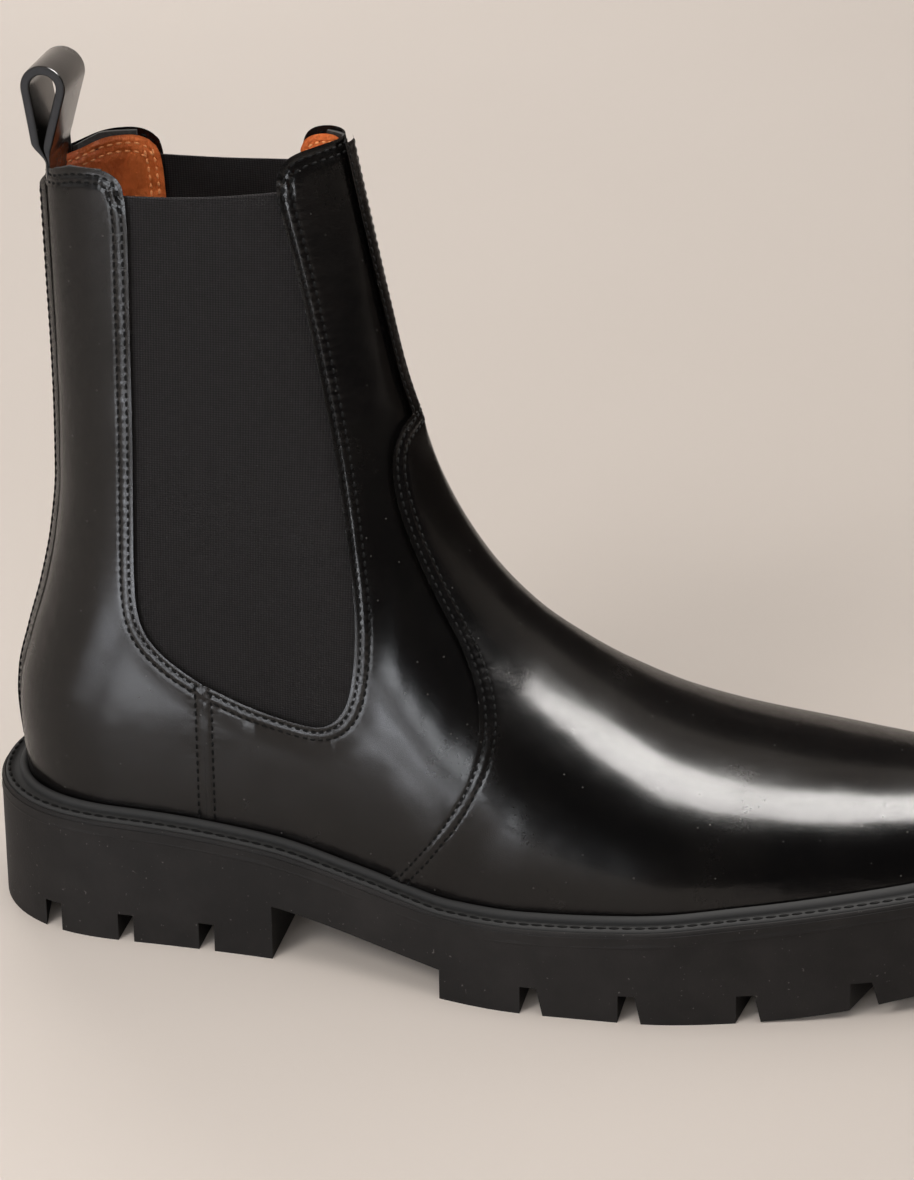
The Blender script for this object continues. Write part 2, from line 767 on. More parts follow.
def make_object(
    name: str, vertices: Array, faces: Iterable[Sequence[int]], smooth: bool = True
) -> bpy.types.Object:
    """A mesh object in the scene.

    Args:
        name: The object's and the mesh's name.
        vertices: Places in the frame, in metres.
        faces: Vertex numbers of each face.
        smooth: Whether the faces are smooth shaded.

    Returns:
        The new object.
    """
    mesh = bpy.data.meshes.new(name)
    mesh.from_pydata([tuple(v) for v in vertices], [], [tuple(f) for f in faces])
    mesh.validate()
    mesh.polygons.foreach_set("use_smooth", [smooth] * len(mesh.polygons))
    obj = bpy.data.objects.new(name, mesh)
    bpy.context.scene.collection.objects.link(obj)
    return obj


# ------------------------------------------------------------ shader writing


class Wire:
    """A socket in a material, usable in expressions with numbers and other wires."""

    def __init__(self, board: "Board", socket: bpy.types.NodeSocket) -> None:
        """Keeps the socket and the board that it belongs to."""
        self.board = board
        self.socket = socket

    def math(self, operation: str, *others: "Wire | float") -> "Wire":
        """A Math node of this wire and the others."""
        return self.board.math(operation, self, *others)

    def __add__(self, other: "Wire | float") -> "Wire":
        """Sum."""
        return self.math("ADD", other)

    __radd__ = __add__

    def __mul__(self, other: "Wire | float") -> "Wire":
        """Product."""
        return self.math("MULTIPLY", other)

    __rmul__ = __mul__

    def __sub__(self, other: "Wire | float") -> "Wire":
        """Difference."""
        return self.math("SUBTRACT", other)

    def __rsub__(self, other: float) -> "Wire":
        """Difference from a number."""
        return self.board.math("SUBTRACT", other, self)

    def __pow__(self, other: float) -> "Wire":
        """Power."""
        return self.math("POWER", other)

    def above(self, start: float, end: float) -> "Wire":
        """0 below start, 1 above end and smooth between them."""
        settings = {"interpolation_type": "SMOOTHSTEP"}
        values = {"Value": self, "From Min": start, "From Max": end, "To Min": 0.0, "To Max": 1.0}
        return self.board.node("ShaderNodeMapRange", settings, values)["Result"]


class Made:
    """A node just made, whose outputs are read by name."""

    def __init__(self, board: "Board", node: bpy.types.Node) -> None:
        """Keeps the node and its board."""
        self.board = board
        self.node = node

    def __getitem__(self, name: str | int) -> Wire:
        """The output called name."""
        return Wire(self.board, self.node.outputs[name])


class Board:
    """A material's node tree, with one method that makes every node."""

    def __init__(self, name: str) -> None:
        """Makes the material, empty but for its output."""
        self.material = bpy.data.materials.new(name)
        self.material.use_nodes = True
        self.tree = self.material.node_tree
        self.tree.nodes.clear()

    def node(self, kind: str, settings: dict | None = None, values: dict | None = None) -> Made:
        """Adds a node.

        Args:
            kind: The node's type.
            settings: Its own properties, set before its sockets.
            values: Values or wires for its inputs, by name or number.

        Returns:
            The node, whose outputs are read by name.
        """
        made = self.tree.nodes.new(kind)
        for key, value in (settings or {}).items():
            if key == "stops":
                self.set_stops(made, value)
            else:
                setattr(made, key, value)
        for key, value in (values or {}).items():
            if isinstance(value, Wire):
                self.tree.links.new(value.socket, made.inputs[key])
            else:
                made.inputs[key].default_value = value
        return Made(self, made)

    @staticmethod
    def set_stops(ramp_node: bpy.types.Node, stops: Sequence[tuple[float, "Colour"]]) -> None:
        """Gives a colour ramp its stops."""
        elements = ramp_node.color_ramp.elements
        while len(elements) < len(stops):
            elements.new(1.0)
        for element, (place, colour) in zip(elements, stops):
            element.position = place
            element.color = (*colour, 1.0)

    def math(self, operation: str, *values: Wire | float) -> Wire:
        """A Math node."""
        return self.node("ShaderNodeMath", {"operation": operation}, dict(enumerate(values)))["Value"]

    def mix(self, share: Wire | float, low: "Wire | Colour", high: "Wire | Colour") -> Wire:
        """A mix of two colours."""
        values = {0: share, 6: low if isinstance(low, Wire) else (*low, 1.0)}
        values[7] = high if isinstance(high, Wire) else (*high, 1.0)
        return self.node("ShaderNodeMix", {"data_type": "RGBA"}, values)[2]

    def place(self) -> Wire:
        """Object coordinates, in metres."""
        return self.node("ShaderNodeTexCoord")["Object"]

    def noise(self, size: float, detail: float = 3.0, rough: float = 0.55, where: Wire | None = None) -> Wire:
        """Noise with features of about size metres, from 0 to 1."""
        values = {"Vector": where or self.place(), "Scale": 1 / size, "Detail": detail, "Roughness": rough}
        return self.node("ShaderNodeTexNoise", None, values)["Fac"]

    def cells(self, size: float, feature: str = "F1") -> Wire:
        """Distance in a cell pattern with cells of about size metres."""
        settings = {"feature": feature}
        values = {"Vector": self.place(), "Scale": 1 / size}
        return self.node("ShaderNodeTexVoronoi", settings, values)["Distance"]

    def bump(self, height: Wire, distance: float, strength: float = 1.0, normal: Wire | None = None) -> Wire:
        """A Bump node over a height."""
        values: dict = {"Height": height, "Distance": distance, "Strength": strength}
        if normal is not None:
            values["Normal"] = normal
        return self.node("ShaderNodeBump", None, values)["Normal"]

    def surface(self, **values: Wire | float | tuple) -> bpy.types.Material:
        """Ends the tree in a Principled shader with these inputs, named with _ for spaces."""
        inputs = {key.replace("_", " "): value for key, value in values.items()}
        shader = self.node("ShaderNodeBsdfPrincipled", None, inputs)["BSDF"]
        self.node("ShaderNodeOutputMaterial", None, {"Surface": shader})
        return self.material


Colour = tuple[float, float, float]


@dataclass(frozen=True)
class PolishedLeather:
    """Smooth calf leather, dyed through and polished."""

    name: str = "polished_black_leather"
    deep: Colour = (0.0035, 0.0032, 0.0033)
    warm: Colour = (0.0070, 0.0058, 0.0052)
    dust: Colour = (0.16, 0.15, 0.14)
    grain_size: float = 0.00042
    roughness: float = 0.24
    coat: float = 0.35
    coat_roughness: float = 0.13

    def make(self) -> bpy.types.Material:
        """Fine grain, slow swells in the surface, smears of polish and a few specks of dust."""
        board = Board(self.name)
        grain = board.cells(self.grain_size, "SMOOTH_F1")
        pores = board.noise(0.0011, 4.0)
        swell = board.noise(0.021, 2.0)
        smear = board.noise(0.034, 4.0, 0.6)
        speck = board.cells(0.0042).above(0.055, 0.03)
        colour = board.mix(smear.above(0.35, 0.75), self.deep, self.warm)
        colour = board.mix(speck * 0.8, colour, self.dust)
        rough = smear.above(0.3, 0.8) * 0.09 + pores * 0.05 + self.roughness - 0.06 + speck * 0.4
        coarse = board.bump(swell, 0.0011, 0.35)
        fine = board.bump(grain * 0.6 + pores * 0.7, 0.00006, 0.55, coarse)
        return board.surface(
            Base_Color=colour,
            Roughness=rough,
            Normal=fine,
            Specular_IOR_Level=0.55,
            Coat_Weight=self.coat,
            Coat_Roughness=self.coat_roughness,
            Coat_IOR=1.5,
        )


@dataclass(frozen=True)
class LiningLeather:
    """Soft tan lining leather with a napped face."""

    name: str = "tan_lining_leather"
    light: Colour = (0.95, 0.285, 0.080)
    dark: Colour = (0.66, 0.165, 0.041)
    roughness: float = 0.62

    def make(self) -> bpy.types.Material:
        """Mottled colour, creases and fine nap."""
        board = Board(self.name)
        mottle = board.noise(0.011, 5.0, 0.62)
        nap = board.noise(0.0006, 3.0)
        crease = board.noise(0.0045, 3.0, 0.5)
        colour = board.mix(mottle.above(0.3, 0.72), self.dark, self.light)
        rough = self.roughness + nap * 0.2 - mottle * 0.1
        stretch = {0: board.place(), 1: (1.0, 1.0, 0.28)}
        upright = board.node("ShaderNodeVectorMath", {"operation": "MULTIPLY"}, stretch)
        drape = board.noise(0.0034, 3.0, 0.55, upright["Vector"])
        normal = board.bump(nap * 0.3 + crease * 1.2 + drape * 2.2, 0.0008, 0.8)
        return board.surface(Base_Color=colour, Roughness=rough, Normal=normal, Specular_IOR_Level=0.4)


@dataclass(frozen=True)
class Elastic:
    """Woven elastic webbing with fine ribs up the boot and crossing threads."""

    name: str = "charcoal_elastic"
    dark: Colour = (0.0095, 0.0090, 0.0093)
    light: Colour = (0.043, 0.039, 0.040)
    rib: float = 0.00072
    pick: float = 0.00062

    def make(self) -> bpy.types.Material:
        """Ribs and picks from the piece's own weave map, with lint and uneven threads."""
        board = Board(self.name)
        weave = board.node("ShaderNodeUVMap", {"uv_map": "weave"})["UV"]
        parts = board.node("ShaderNodeSeparateXYZ", None, {"Vector": weave})
        wander = board.noise(0.006, 2.0) * 0.8
        ribs = (parts["X"] * (2 * math.pi / self.rib) + wander).math("SINE") * 0.5 + 0.5
        picks = (parts["Y"] * (2 * math.pi / self.pick) + wander).math("SINE") * 0.5 + 0.5
        thread = ribs * 0.35 + picks * 0.35 + picks * ribs * 0.3
        uneven = board.noise(0.0021, 4.0, 0.6)
        lint = board.noise(0.00045, 2.0).above(0.66, 0.76)
        colour = board.mix(thread * (0.55 + uneven * 0.6), self.dark, self.light)
        colour = board.mix(lint * 0.35, colour, (0.10, 0.10, 0.105))
        normal = board.bump(thread + uneven * 0.4, 0.00022, 0.8)
        return board.surface(
            Base_Color=colour,
            Roughness=0.86 - uneven * 0.1,
            Normal=normal,
            Specular_IOR_Level=0.25,
            Sheen_Weight=0.08,
            Sheen_Roughness=0.5,
        )


@dataclass(frozen=True)
class MouldedRubber:
    """Moulded black rubber."""

    name: str
    colour: Colour
    pale: Colour
    roughness: float
    grain: float = 0.0006
    relief: float = 0.00008
    shine: float = 0.22

    def make(self) -> bpy.types.Material:
        """A faint mould texture, pale scuffs and dust in the recesses."""
        board = Board(self.name)
        grain = board.noise(self.grain, 3.0)
        cloud = board.noise(0.024, 5.0, 0.62)
        speck = board.noise(0.0012, 2.0).above(0.70, 0.76)
        scuff = board.noise(0.007, 6.0, 0.7).above(0.55, 0.8)
        colour = board.mix(cloud.above(0.3, 0.75) * 0.6 + scuff * 0.25, self.colour, self.pale)
        colour = board.mix(speck * 0.5, colour, (0.13, 0.12, 0.115))
        rough = self.roughness + cloud * 0.1 - 0.05 + scuff * 0.06
        normal = board.bump(grain + scuff * 0.5, self.relief, 0.7)
        return board.surface(Base_Color=colour, Roughness=rough, Normal=normal, Specular_IOR_Level=self.shine)


@dataclass(frozen=True)
class Thread:
    """Waxed sewing thread."""

    name: str
    colour: Colour
    roughness: float = 0.45

    def make(self) -> bpy.types.Material:
        """Plied fibres with uneven wax."""
        board = Board(self.name)
        ply = board.noise(0.00028, 2.0)
        wax = board.noise(0.003, 3.0)
        colour = board.mix(ply, tuple(c * 0.6 for c in self.colour), tuple(c * 1.5 for c in self.colour))
        return board.surface(
            Base_Color=colour,
            Roughness=self.roughness + wax * 0.2,
            Normal=board.bump(ply, 0.00008, 0.6),
            Specular_IOR_Level=0.15,
        )


@dataclass(frozen=True)
class PlainStuff:
    """A hidden material of the boot's inside, such as board, canvas, cork or steel."""

    name: str
    low: Colour
    high: Colour
    size: float
    roughness: float = 0.8
    metallic: float = 0.0
    relief: float = 0.0001

    def make(self) -> bpy.types.Material:
        """Mottled colour and a grain of the stuff's own size."""
        board = Board(self.name)
        grain = board.noise(self.size, 5.0, 0.6)
        fine = board.cells(self.size * 0.5)
        colour = board.mix(grain.above(0.3, 0.7), self.low, self.high)
        rough = self.roughness + grain * 0.1 - 0.05
        normal = board.bump(grain + fine * 0.4, self.relief, 0.6)
        return board.surface(Base_Color=colour, Roughness=rough, Metallic=self.metallic, Normal=normal)


class Finish(Enum):
    """The finishes of the boot and its floor."""

    LEATHER = PolishedLeather()
    LINING = LiningLeather()
    ELASTIC = Elastic()
    SOLE = MouldedRubber("matte_sole_rubber", (0.0085, 0.0078, 0.0076), (0.021, 0.019, 0.0185), 0.66)
    WELT = MouldedRubber("welt_rubber", (0.0028, 0.0026, 0.0027), (0.0065, 0.0060, 0.0060), 0.30, shine=0.14)
    THREAD = Thread("black_thread", (0.003, 0.003, 0.003), 0.6)
    TAN_THREAD = Thread("tan_thread", (0.72, 0.30, 0.12), 0.6)
    CUT_EDGE = PlainStuff("cut_leather_edge", (0.0035, 0.0032, 0.0035), (0.011, 0.010, 0.011), 0.0011, 0.72)
    BOARD = PlainStuff("leatherboard", (0.36, 0.25, 0.15), (0.55, 0.42, 0.28), 0.0015)
    INSOLE = PlainStuff("insole_leather", (0.45, 0.29, 0.17), (0.62, 0.44, 0.28), 0.004, 0.65)
    CLOTH = PlainStuff("black_backing_cloth", (0.016, 0.015, 0.014), (0.040, 0.037, 0.034), 0.0009)
    CANVAS = PlainStuff("rib_canvas", (0.52, 0.47, 0.38), (0.68, 0.63, 0.54), 0.0009)
    CORK = PlainStuff("cork_granules", (0.22, 0.12, 0.06), (0.55, 0.36, 0.20), 0.003, 0.85, 0.0, 0.0004)
    STEEL = PlainStuff("shank_steel", (0.32, 0.33, 0.35), (0.55, 0.56, 0.58), 0.002, 0.32, 1.0, 0.00002)

    def material(self) -> bpy.types.Material:
        """The finish's material, made the first time that it is asked for."""
        found = bpy.data.materials.get(self.value.name)
        return found or self.value.make()


class Slot(Enum):
    """The record's material slots."""

    LEATHER = "black_leather"
    LINING = "lining_leather"
    ELASTIC = "elastic"
    WELT = "welt_rubber"
    SOLE = "sole_rubber"
    BOARD = "stiffener_board"
    CANVAS = "backing_cloth"
    RIB = "insole_rib"
    INSOLE = "insole_board"
    CORK = "cork"
    STEEL = "steel"


def dress(obj: bpy.types.Object, finish: Finish) -> None:
    """Gives an object one finish all over."""
    obj.data.materials.clear()
    obj.data.materials.append(finish.material())


def mount(obj: bpy.types.Object, body: str, finish: Finish, replaced: Sequence[str] = ()) -> None:
    """Dresses a finished piece and hands it to the frame.

    Args:
        obj: The piece.
        body: The body that it rides on.
        finish: Its finish.
        replaced: CAD nodes that it stands for.
    """
    dress(obj, finish)
    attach(obj, body)
    if replaced:
        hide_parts(*replaced)
    log.info("%s: %d faces", obj.name, len(obj.data.polygons))


# ------------------------------------------------------------ stitching


@dataclass
class Stitching:
    """Rows of stitches laid along paths by a node tree."""

    pitch: float = STITCH_PITCH * MM
    length: float = 1.75 * MM
    width: float = 0.8 * MM
    height: float = 0.62 * MM
    finish: Finish = Finish.THREAD

    def tree(self) -> bpy.types.GeometryNodeTree:
        """Builds the node tree that turns guide lines with normals into stitches."""
        group = bpy.data.node_groups.new("stitch_rows", "GeometryNodeTree")
        face = group.interface
        face.new_socket("Guides", in_out="INPUT", socket_type="NodeSocketGeometry")
        for name in ("Pitch", "Length", "Width", "Height"):
            face.new_socket(name, in_out="INPUT", socket_type="NodeSocketFloat")
        face.new_socket("Stitches", in_out="OUTPUT", socket_type="NodeSocketGeometry")
        nodes, links = group.nodes, group.links
        given = nodes.new("NodeGroupInput")
        curve = nodes.new("GeometryNodeMeshToCurve")
        spaced = nodes.new("GeometryNodeResampleCurve")
        spaced.mode = "LENGTH"
        tangent = nodes.new("GeometryNodeInputTangent")
        upward = nodes.new("GeometryNodeInputNamedAttribute")
        upward.data_type = "FLOAT_VECTOR"
        upward.inputs["Name"].default_value = "facing"
        forward = nodes.new("FunctionNodeAlignRotationToVector")
        forward.axis = "X"
        turned = nodes.new("FunctionNodeAlignRotationToVector")
        turned.axis = "Z"
        turned.pivot_axis = "X"
        bead = nodes.new("GeometryNodeMeshUVSphere")
        bead.inputs["Segments"].default_value = 8
        bead.inputs["Rings"].default_value = 5
        bead.inputs["Radius"].default_value = 0.5
        size = nodes.new("ShaderNodeCombineXYZ")
        placed = nodes.new("GeometryNodeInstanceOnPoints")
        real = nodes.new("GeometryNodeRealizeInstances")
        smooth = nodes.new("GeometryNodeSetShadeSmooth")
        paint = nodes.new("GeometryNodeSetMaterial")
        paint.inputs["Material"].default_value = self.finish.material()
        result = nodes.new("NodeGroupOutput")
        links.new(given.outputs["Guides"], curve.inputs[0])
        links.new(curve.outputs[0], spaced.inputs["Curve"])
        links.new(given.outputs["Pitch"], spaced.inputs["Length"])
        links.new(tangent.outputs[0], forward.inputs["Vector"])
        links.new(forward.outputs[0], turned.inputs["Rotation"])
        links.new(upward.outputs["Attribute"], turned.inputs["Vector"])
        links.new(given.outputs["Length"], size.inputs["X"])
        links.new(given.outputs["Width"], size.inputs["Y"])
        links.new(given.outputs["Height"], size.inputs["Z"])
        links.new(spaced.outputs[0], placed.inputs["Points"])
        links.new(bead.outputs["Mesh"], placed.inputs["Instance"])
        links.new(turned.outputs[0], placed.inputs["Rotation"])
        links.new(size.outputs[0], placed.inputs["Scale"])
        links.new(placed.outputs[0], real.inputs[0])
        links.new(real.outputs[0], smooth.inputs[0])
        links.new(smooth.outputs[0], paint.inputs["Geometry"])
        links.new(paint.outputs[0], result.inputs[0])
        return group

    def sew(self, name: str, rows: Iterable[tuple[Array, Array]]) -> bpy.types.Object:
        """Lays stitches along rows.

        Args:
            name: The new piece's name.
            rows: Points and outward normals of each row, in the frame.

        Returns:
            The stitches as one plain mesh.
        """
        points, normals, edges = [], [], []
        for row, facing in rows:
            start = len(points)
            points += [tuple(p) for p in row]
            normals += [tuple(n) for n in facing]
            edges += [(start + i, start + i + 1) for i in range(len(row) - 1)]
        guide = bpy.data.meshes.new(name + "_guide")
        guide.from_pydata(points, edges, [])
        facing_data = guide.attributes.new("facing", "FLOAT_VECTOR", "POINT")
        facing_data.data.foreach_set("vector", np.array(normals, np.float32).ravel())
        obj = bpy.data.objects.new(name, guide)
        bpy.context.scene.collection.objects.link(obj)
        group = self.tree()
        modifier = obj.modifiers.new("stitches", "NODES")
        modifier.node_group = group
        sizes = {"Pitch": self.pitch, "Length": self.length, "Width": self.width, "Height": self.height}
        for item in group.interface.items_tree:
            if item.name in sizes:
                modifier[item.identifier] = sizes[item.name]
        graph = bpy.context.evaluated_depsgraph_get()
        mesh = bpy.data.meshes.new_from_object(obj.evaluated_get(graph), depsgraph=graph)
        obj.modifiers.clear()
        obj.data = mesh
        mesh.name = name
        return obj


# ------------------------------------------------------------ the upper


LINING_SIZES = {"thickness": 0.95, "depth": 2.72, "facing": -1.0, "spacing": 1.7}


@dataclass
class Upper:
    """The leather panels, the elastic gores and the lining."""

    vamp_margin: float = 8.0
    lining_base: float = 6.0
    strip_width: float = 8.6
    backstay_top: float = 204.0
    backstay_bottom: float = 43.0
    strip_top: float = 219.2
    strip_bottom: float = 146.0
    crease_size: float = 9.0

    def __post_init__(self) -> None:
        """Works out the seam lines on the outer side once."""
        self.window_back, self.window_front = SEAMS.window_parts()
        self.side_seam = SEAMS.side_seam()
        self.side_seam[-1] = self.window_front[0]
        self.back_top = self.snapped(SEAMS.located(((17.5, 209.9), *SEAMS.back_top[1:])), 0, 0.0)
        self.back_top[-1] = self.window_back[0]
        self.front_top = self.snapped(SEAMS.located(SEAMS.front_top), -1, FRONT)
        self.front_top[0] = self.window_front[-1]
        self.vamp_edge = self.on_sole(self.snapped(SEAMS.located(SEAMS.vamp), 0, FRONT))
        self.seam_s = float(self.side_seam[0, 0])
        self.vamp_s = float(self.vamp_edge[-1, 0])

    @staticmethod
    def snapped(path: Array, index: int, s: float) -> Array:
        """The path with one end moved onto a middle line."""
        path = path.copy()
        path[index, 0] = s
        return path

    @staticmethod
    def on_sole(path: Array) -> Array:
        """The path cut off where it meets the sole line."""
        points = LAST.surface(path[:, 0], path[:, 1])
        above = points[:, 2] > LAST.sole_top(points[:, 0]) + SEAMS.base_rise + 0.3
        kept = path[above]
        foot = LAST.level(kept[-1:, 0], lambda x: LAST.sole_top(x) + SEAMS.base_rise)
        return np.concatenate([kept, foot])

    @staticmethod
    def base(start: Array, end: Array) -> Array:
        """The sole line between two of its places."""
        path = SEAMS.base(float(start[0]), float(end[0]))
        path[0], path[-1] = start, end
        return path

    @staticmethod
    def straight(start: Array, end: Array) -> Array:
        """A line of constant s between two places."""
        path = np.linspace(start, end, 300)
        return even(path, SEAMS.step)

    @staticmethod
    def flipped(path: Array) -> Array:
        """The path mirrored across the heel's middle line and run the other way."""
        return np.stack([-path[::-1, 0], path[::-1, 1]], axis=-1)

    def side(self, edges: list[tuple[Edge, Array]], medial: bool) -> list[tuple[Edge, Array]]:
        """The outline as drawn for the outer side, or mirrored for the inner side."""
        if not medial:
            return edges
        return [(edge, mirrored(path)) for edge, path in reversed(edges)]

    def back_quarter(self, medial: bool) -> Panel:
        """The leather behind the side seam."""
        heel = LAST.level(np.array([0.0]), lambda x: LAST.sole_top(x) + SEAMS.base_rise)[0]
        edges = [
            (Edge.BASE, self.base(heel, self.side_seam[0])),
            (Edge.BUTTED, self.side_seam),
            (Edge.WINDOW, self.window_back[::-1]),
            (Edge.TOPLINE, self.back_top[::-1]),
            (Edge.CLOSED, self.straight(self.back_top[0], heel)),
        ]
        name = "back_quarter_leather_" + ("medial" if medial else "lateral")
        return Panel(name, self.side(edges, medial), relief=self.swells)

    def front_quarter(self, medial: bool) -> Panel:
        """The leather between the side seam, the window, the shin and the vamp."""
        margin = Panel("margin", []).inset(self.vamp_edge, self.vamp_margin, 1.0)
        edge_points = LAST.surface(self.vamp_edge[:, 0], self.vamp_edge[:, 1])
        margin = margin[edge_points[:, 2] < 137.0]
        margin[:, 0] = np.minimum(margin[:, 0], FRONT)
        margin = self.on_sole(margin)[::-1]
        shin = self.straight(np.array([FRONT, margin[-1, 1]]), self.front_top[-1])
        edges = [
            (Edge.BASE, self.base(self.side_seam[0], margin[0])),
            (Edge.UNDER, even(np.concatenate([margin, shin[:1]]), SEAMS.step)),
            (Edge.CLOSED, shin),
            (Edge.TOPLINE, self.front_top[::-1]),
            (Edge.WINDOW, self.window_front[::-1]),
            (Edge.BUTTED, self.side_seam[::-1]),
        ]
        name = "front_quarter_leather_" + ("medial" if medial else "lateral")
        return Panel(name, self.side(edges, medial), relief=self.swells)

    def vamp(self) -> Panel:
        """The leather over the foot and toe, lapped over the quarters."""
        inner_edge = mirrored(self.vamp_edge)
        edges = [
            (Edge.BASE, self.base(self.vamp_edge[-1], inner_edge[0])),
            (Edge.LAPPED, inner_edge),
            (Edge.LAPPED, self.vamp_edge),
        ]
        return Panel("vamp_leather", edges, thickness=1.3, relief=self.swells)

    def strip(self, name: str, low: float, high: float, half: Line, front: bool, taper: float) -> Panel:
        """A narrow strip over a middle seam.

        Args:
            name: The piece's name.
            low: Height of its lower end.
            high: Height of its upper end.
            half: Half its width over the height.
            front: Whether it lies over the shin rather than the heel.
            taper: Thickness.

        Returns:
            The strip as a panel.
        """
        start = FRONT if front else 0.0
        ends = LAST.level(np.array([start, start]), lambda x: np.array([low, high]))
        t = np.linspace(ends[0, 1], ends[1, 1], 300)
        heights = LAST.surface(np.full(300, start), t)[:, 2]
        near = even(LAST.across(t, half(heights), front), SEAMS.step)
        far = np.stack([2 * start - near[:, 0], near[:, 1]], axis=-1)
        left, right = (near, far) if front else (far, near)
        edges = [
            (Edge.PLAIN, even(np.stack([left[0], right[0]]), SEAMS.step)),
            (Edge.STRIP, right),
            (Edge.PLAIN, even(np.stack([right[-1], left[-1]]), SEAMS.step)),
            (Edge.STRIP, left[::-1]),
        ]
        return Panel(name, edges, thickness=taper, depth=-taper, spacing=1.2, rings=SHORT_RINGS)

    def gore(self, medial: bool) -> Panel:
        """The elastic, which runs under the leather all round its window."""
        path = spline([p for p in SEAMS.window if p[1] < 195], SEAMS.step)
        run = np.gradient(path, axis=0)
        side = np.stack([run[:, 1], -run[:, 0]], axis=-1)
        grown = path + side / np.linalg.norm(side, axis=1, keepdims=True) * SEAMS.elastic_margin
        low = SEAMS.elastic_top
        top = spline([(92.0, low + 3.2), (80.0, low + 2.0), (62.0, low + 0.5), (40.2, low)], SEAMS.step)
        front = np.concatenate([grown[-1:], top[:1]])
        back = np.concatenate([top[-1:], grown[:1]])
        edges = []
        for line in (grown, front, top, back):
            dense = resample(line, 0.4)
            edges.append((Edge.PLAIN, even(LAST.locate(dense[:, 0], dense[:, 1]), SEAMS.step)))
        name = "elastic_gore_" + ("medial" if medial else "lateral")
        sizes = {"thickness": 0.9, "depth": 1.72, "spacing": 1.6, "rings": SHORT_RINGS}
        return Panel(name, self.side(edges, medial), relief=self.belly, **sizes)

    def back_lining(self) -> Panel:
        """The lining round the heel, up to the back of the topline."""
        foot = LAST.level(self.side_seam[:1, 0], lambda x: LAST.sole_top(x) + self.lining_base)[0]
        seam = np.concatenate([foot[None], self.side_seam[self.side_seam[:, 1] > foot[1] + 0.004]])
        top = self.back_top - np.array([0.0, 0.0042])
        top[-1] = self.window_back[0]
        bottom_s = np.linspace(-foot[0], foot[0], 400)
        bottom = even(LAST.level(bottom_s, lambda x: LAST.sole_top(x) + self.lining_base), SEAMS.step)
        bottom[0], bottom[-1] = foot * np.array([-1, 1]), foot
        half = [(Edge.PLAIN, seam), (Edge.LINING_SIDE, self.window_back[::-1]), (Edge.LINING_TOP, top[::-1])]
        edges = [(Edge.PLAIN, bottom), *half, *[(e, self.flipped(p)) for e, p in reversed(half)]]
        return Panel("back_lining_leather", edges, relief=self.creases, **LINING_SIZES)

    def front_lining(self) -> Panel:
        """The lining of the shin and the waist, from the vamp up to the front of the topline."""
        top = self.front_top - np.array([0.0, 0.0042])
        top[0] = self.window_front[-1]
        top[-1, 0] = FRONT
        half = [
            (Edge.PLAIN, self.vamp_edge),
            (Edge.PLAIN, self.base(self.side_seam[0], self.vamp_edge[-1])[::-1]),
            (Edge.PLAIN, self.side_seam),
            (Edge.LINING_SIDE, self.window_front),
            (Edge.LINING_TOP, top),
        ]
        edges = [*half, *[(e, mirrored(p)) for e, p in reversed(half)]]
        return Panel("front_lining_leather", edges, relief=self.creases, **LINING_SIZES)

    @staticmethod
    def swells(places: Array, points: Array) -> Array:
        """Slow unevenness of stretched leather."""
        return 0.10 * PEBBLE(points, 19.0) + 0.03 * PEBBLE(points + 40.0, 7.0)

    @staticmethod
    def belly(places: Array, points: Array) -> Array:
        """The elastic stands a little proud in its window."""
        return -0.25 + 0.12 * PEBBLE(points, 14.0)

    def creases(self, places: Array, points: Array) -> Array:
        """Wrinkles in the soft lining, mostly running round the leg."""
        stretched = points * np.array([0.6, 0.6, 1.4])
        folds = np.abs(PEBBLE(stretched, self.crease_size))
        return 0.75 - 0.55 * (1 - folds) ** 4 + 0.12 * PEBBLE(points, 4.0)

    def weave_map(self, obj: bpy.types.Object) -> None:
        """Gives a gore a map in metres, across and up the elastic."""
        layer = obj.data.uv_layers.new(name="weave")
        places = np.array([v.co for v in obj.data.vertices])
        corners = np.zeros(len(obj.data.loops), np.int32)
        obj.data.loops.foreach_get("vertex_index", corners)
        layer.data.foreach_set("uv", places[corners][:, [0, 2]].astype(np.float32).ravel())

    def build(self) -> None:
        """Builds and mounts every piece of the upper."""
        rows: list[tuple[Array, Array]] = []
        for medial in (False, True):
            side = "medial" if medial else "lateral"
            back = self.back_quarter(medial)
            mount(back.build(), BOOT, Finish.LEATHER, ["back_quarter_" + side])
            front = self.front_quarter(medial)
            mount(front.build(), BOOT, Finish.LEATHER, ["front_quarter_" + side])
            for panel in (back, front):
                for edge in (Edge.WINDOW, Edge.TOPLINE, Edge.BUTTED):
                    rows += panel.stitch_rows(edge)
            gore = self.gore(medial)
            elastic = gore.build()
            self.weave_map(elastic)
            mount(elastic, BOOT, Finish.ELASTIC, ["gore_" + side])
        vamp = self.vamp()
        mount(vamp.build(), BOOT, Finish.LEATHER, ["vamp"])
        rows += vamp.stitch_rows(Edge.LAPPED)
        even_half = Line([(0, self.strip_width / 2), (250, self.strip_width / 2)])
        shin = self.strip("shin_strip_leather", self.strip_bottom, self.strip_top, even_half, True, 1.1)
        mount(shin.build(), BOOT, Finish.LEATHER, ["front_strip"])
        rows += shin.stitch_rows(Edge.STRIP)
        heel_half = Line([(40, 3.0), (60, 5.6), (95, 7.4), (204, 7.6)])
        stay = self.strip("backstay_leather", self.backstay_bottom, self.backstay_top, heel_half, False, 1.2)
        mount(stay.build(), BOOT, Finish.LEATHER, ["backstay"])
        rows += stay.stitch_rows(Edge.STRIP)
        sewn = Stitching().sew("upper_stitches", rows)
        mount(sewn, BOOT, Finish.THREAD)
        linings = ((self.back_lining(), "back_lining"), (self.front_lining(), "front_lining"))
